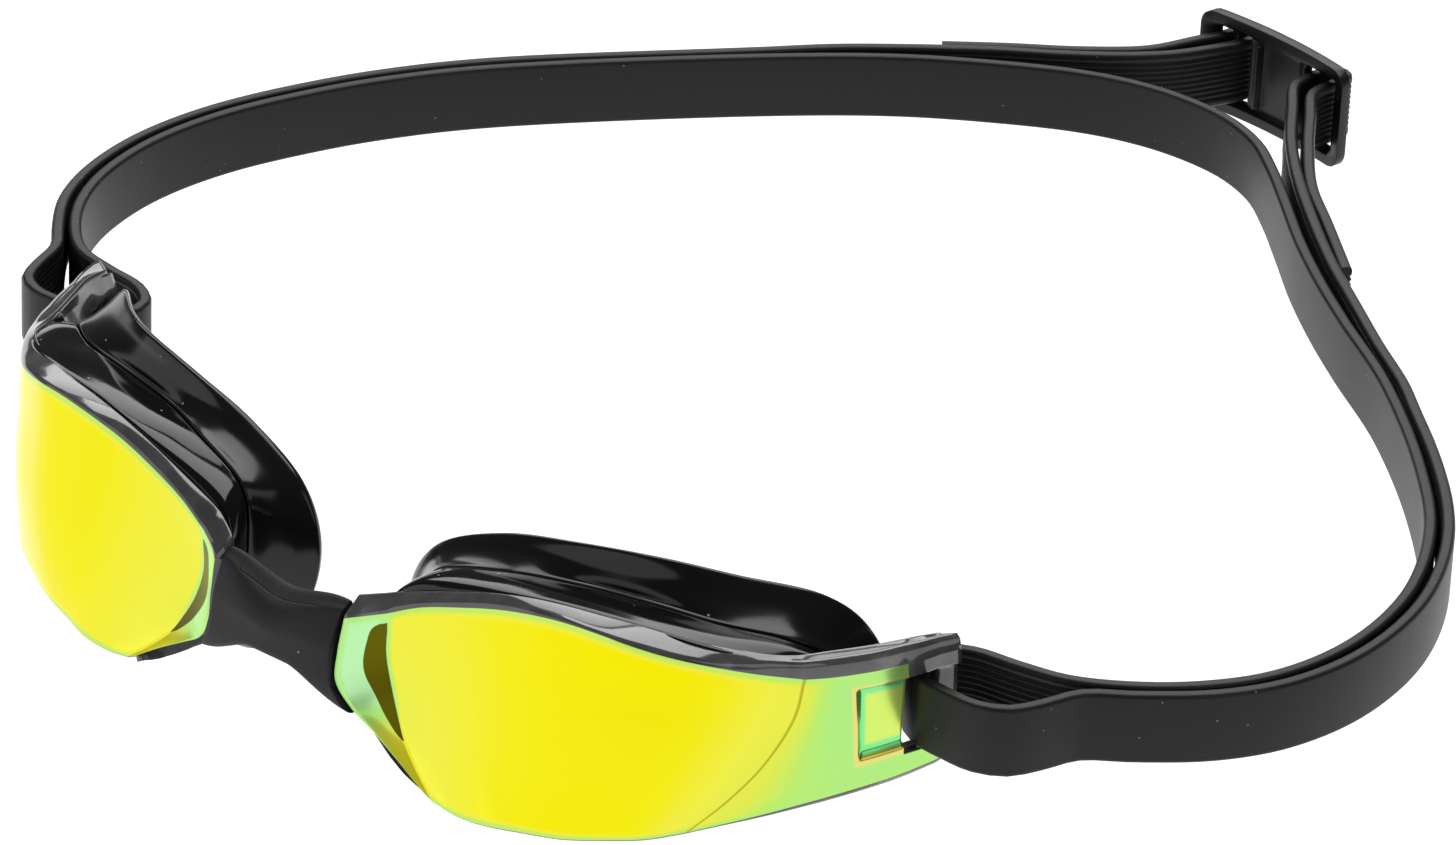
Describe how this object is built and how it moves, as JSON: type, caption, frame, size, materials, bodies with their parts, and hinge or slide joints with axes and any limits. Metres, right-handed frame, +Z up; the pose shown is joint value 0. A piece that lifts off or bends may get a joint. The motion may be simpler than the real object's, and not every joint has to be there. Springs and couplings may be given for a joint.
{
  "type": "swim goggles",
  "caption": "Wraparound racing swim goggles: mirrored lenses in rigid frames with soft gaskets, a clip-on nose bridge, a looped silicone band and a sliding rear buckle.",
  "frame": {"origin": "middle of the footprint on the surface the goggles lie on; x = 0 is the nose line", "axes": "+Z up towards the forehead, -Y the way the wearer looks, +X towards the wearer's left"},
  "size_m": [0.2165, 0.2305, 0.0372],
  "materials": {
    "lens": "mirror-coated polycarbonate",
    "frame": "gloss black",
    "gasket": "gloss soft silicone",
    "bridge": "fine matte grain",
    "band": "satin silicone",
    "buckle": "satin moulded"
  },
  "bodies": {
    "bridge": {"nose_bridge": "bridge"},
    "pod_right": {"lens_right": "lens", "frame_right": "frame", "gasket_right": "gasket"},
    "pod_left": {"lens_left": "lens", "frame_left": "frame", "gasket_left": "gasket"},
    "band": {"band": "band"},
    "buckle": {"buckle": "buckle"}
  },
  "joints": [
    {"name": "pod_right_flex", "type": "hinge", "parent": "bridge", "child": "pod_right", "pos_m": [0.0108, -0.1105, 0.0196], "axis": [0, 0, 1], "range_deg": [-6, 6], "stiffness_Nm_per_rad": 0.8, "deforming": ["band"]},
    {"name": "pod_left_flex", "type": "hinge", "parent": "bridge", "child": "pod_left", "pos_m": [-0.0108, -0.1105, 0.0196], "axis": [0, 0, -1], "range_deg": [-6, 6], "stiffness_Nm_per_rad": 0.8, "deforming": ["band"]},
    {"name": "band_swing", "type": "hinge", "parent": "bridge", "child": "band", "pos_m": [0, -0.0685, 0.0181], "axis": [1, 0, 0], "range_deg": [-15, 40], "stiffness_Nm_per_rad": 0.6, "deforming": ["band"]},
    {"name": "buckle_slide", "type": "slide", "parent": "band", "child": "buckle", "axis": [0.9863, -0.1648, 0.0097], "range_m": [-0.006, 0.006], "deforming": ["band"]}
  ]
}
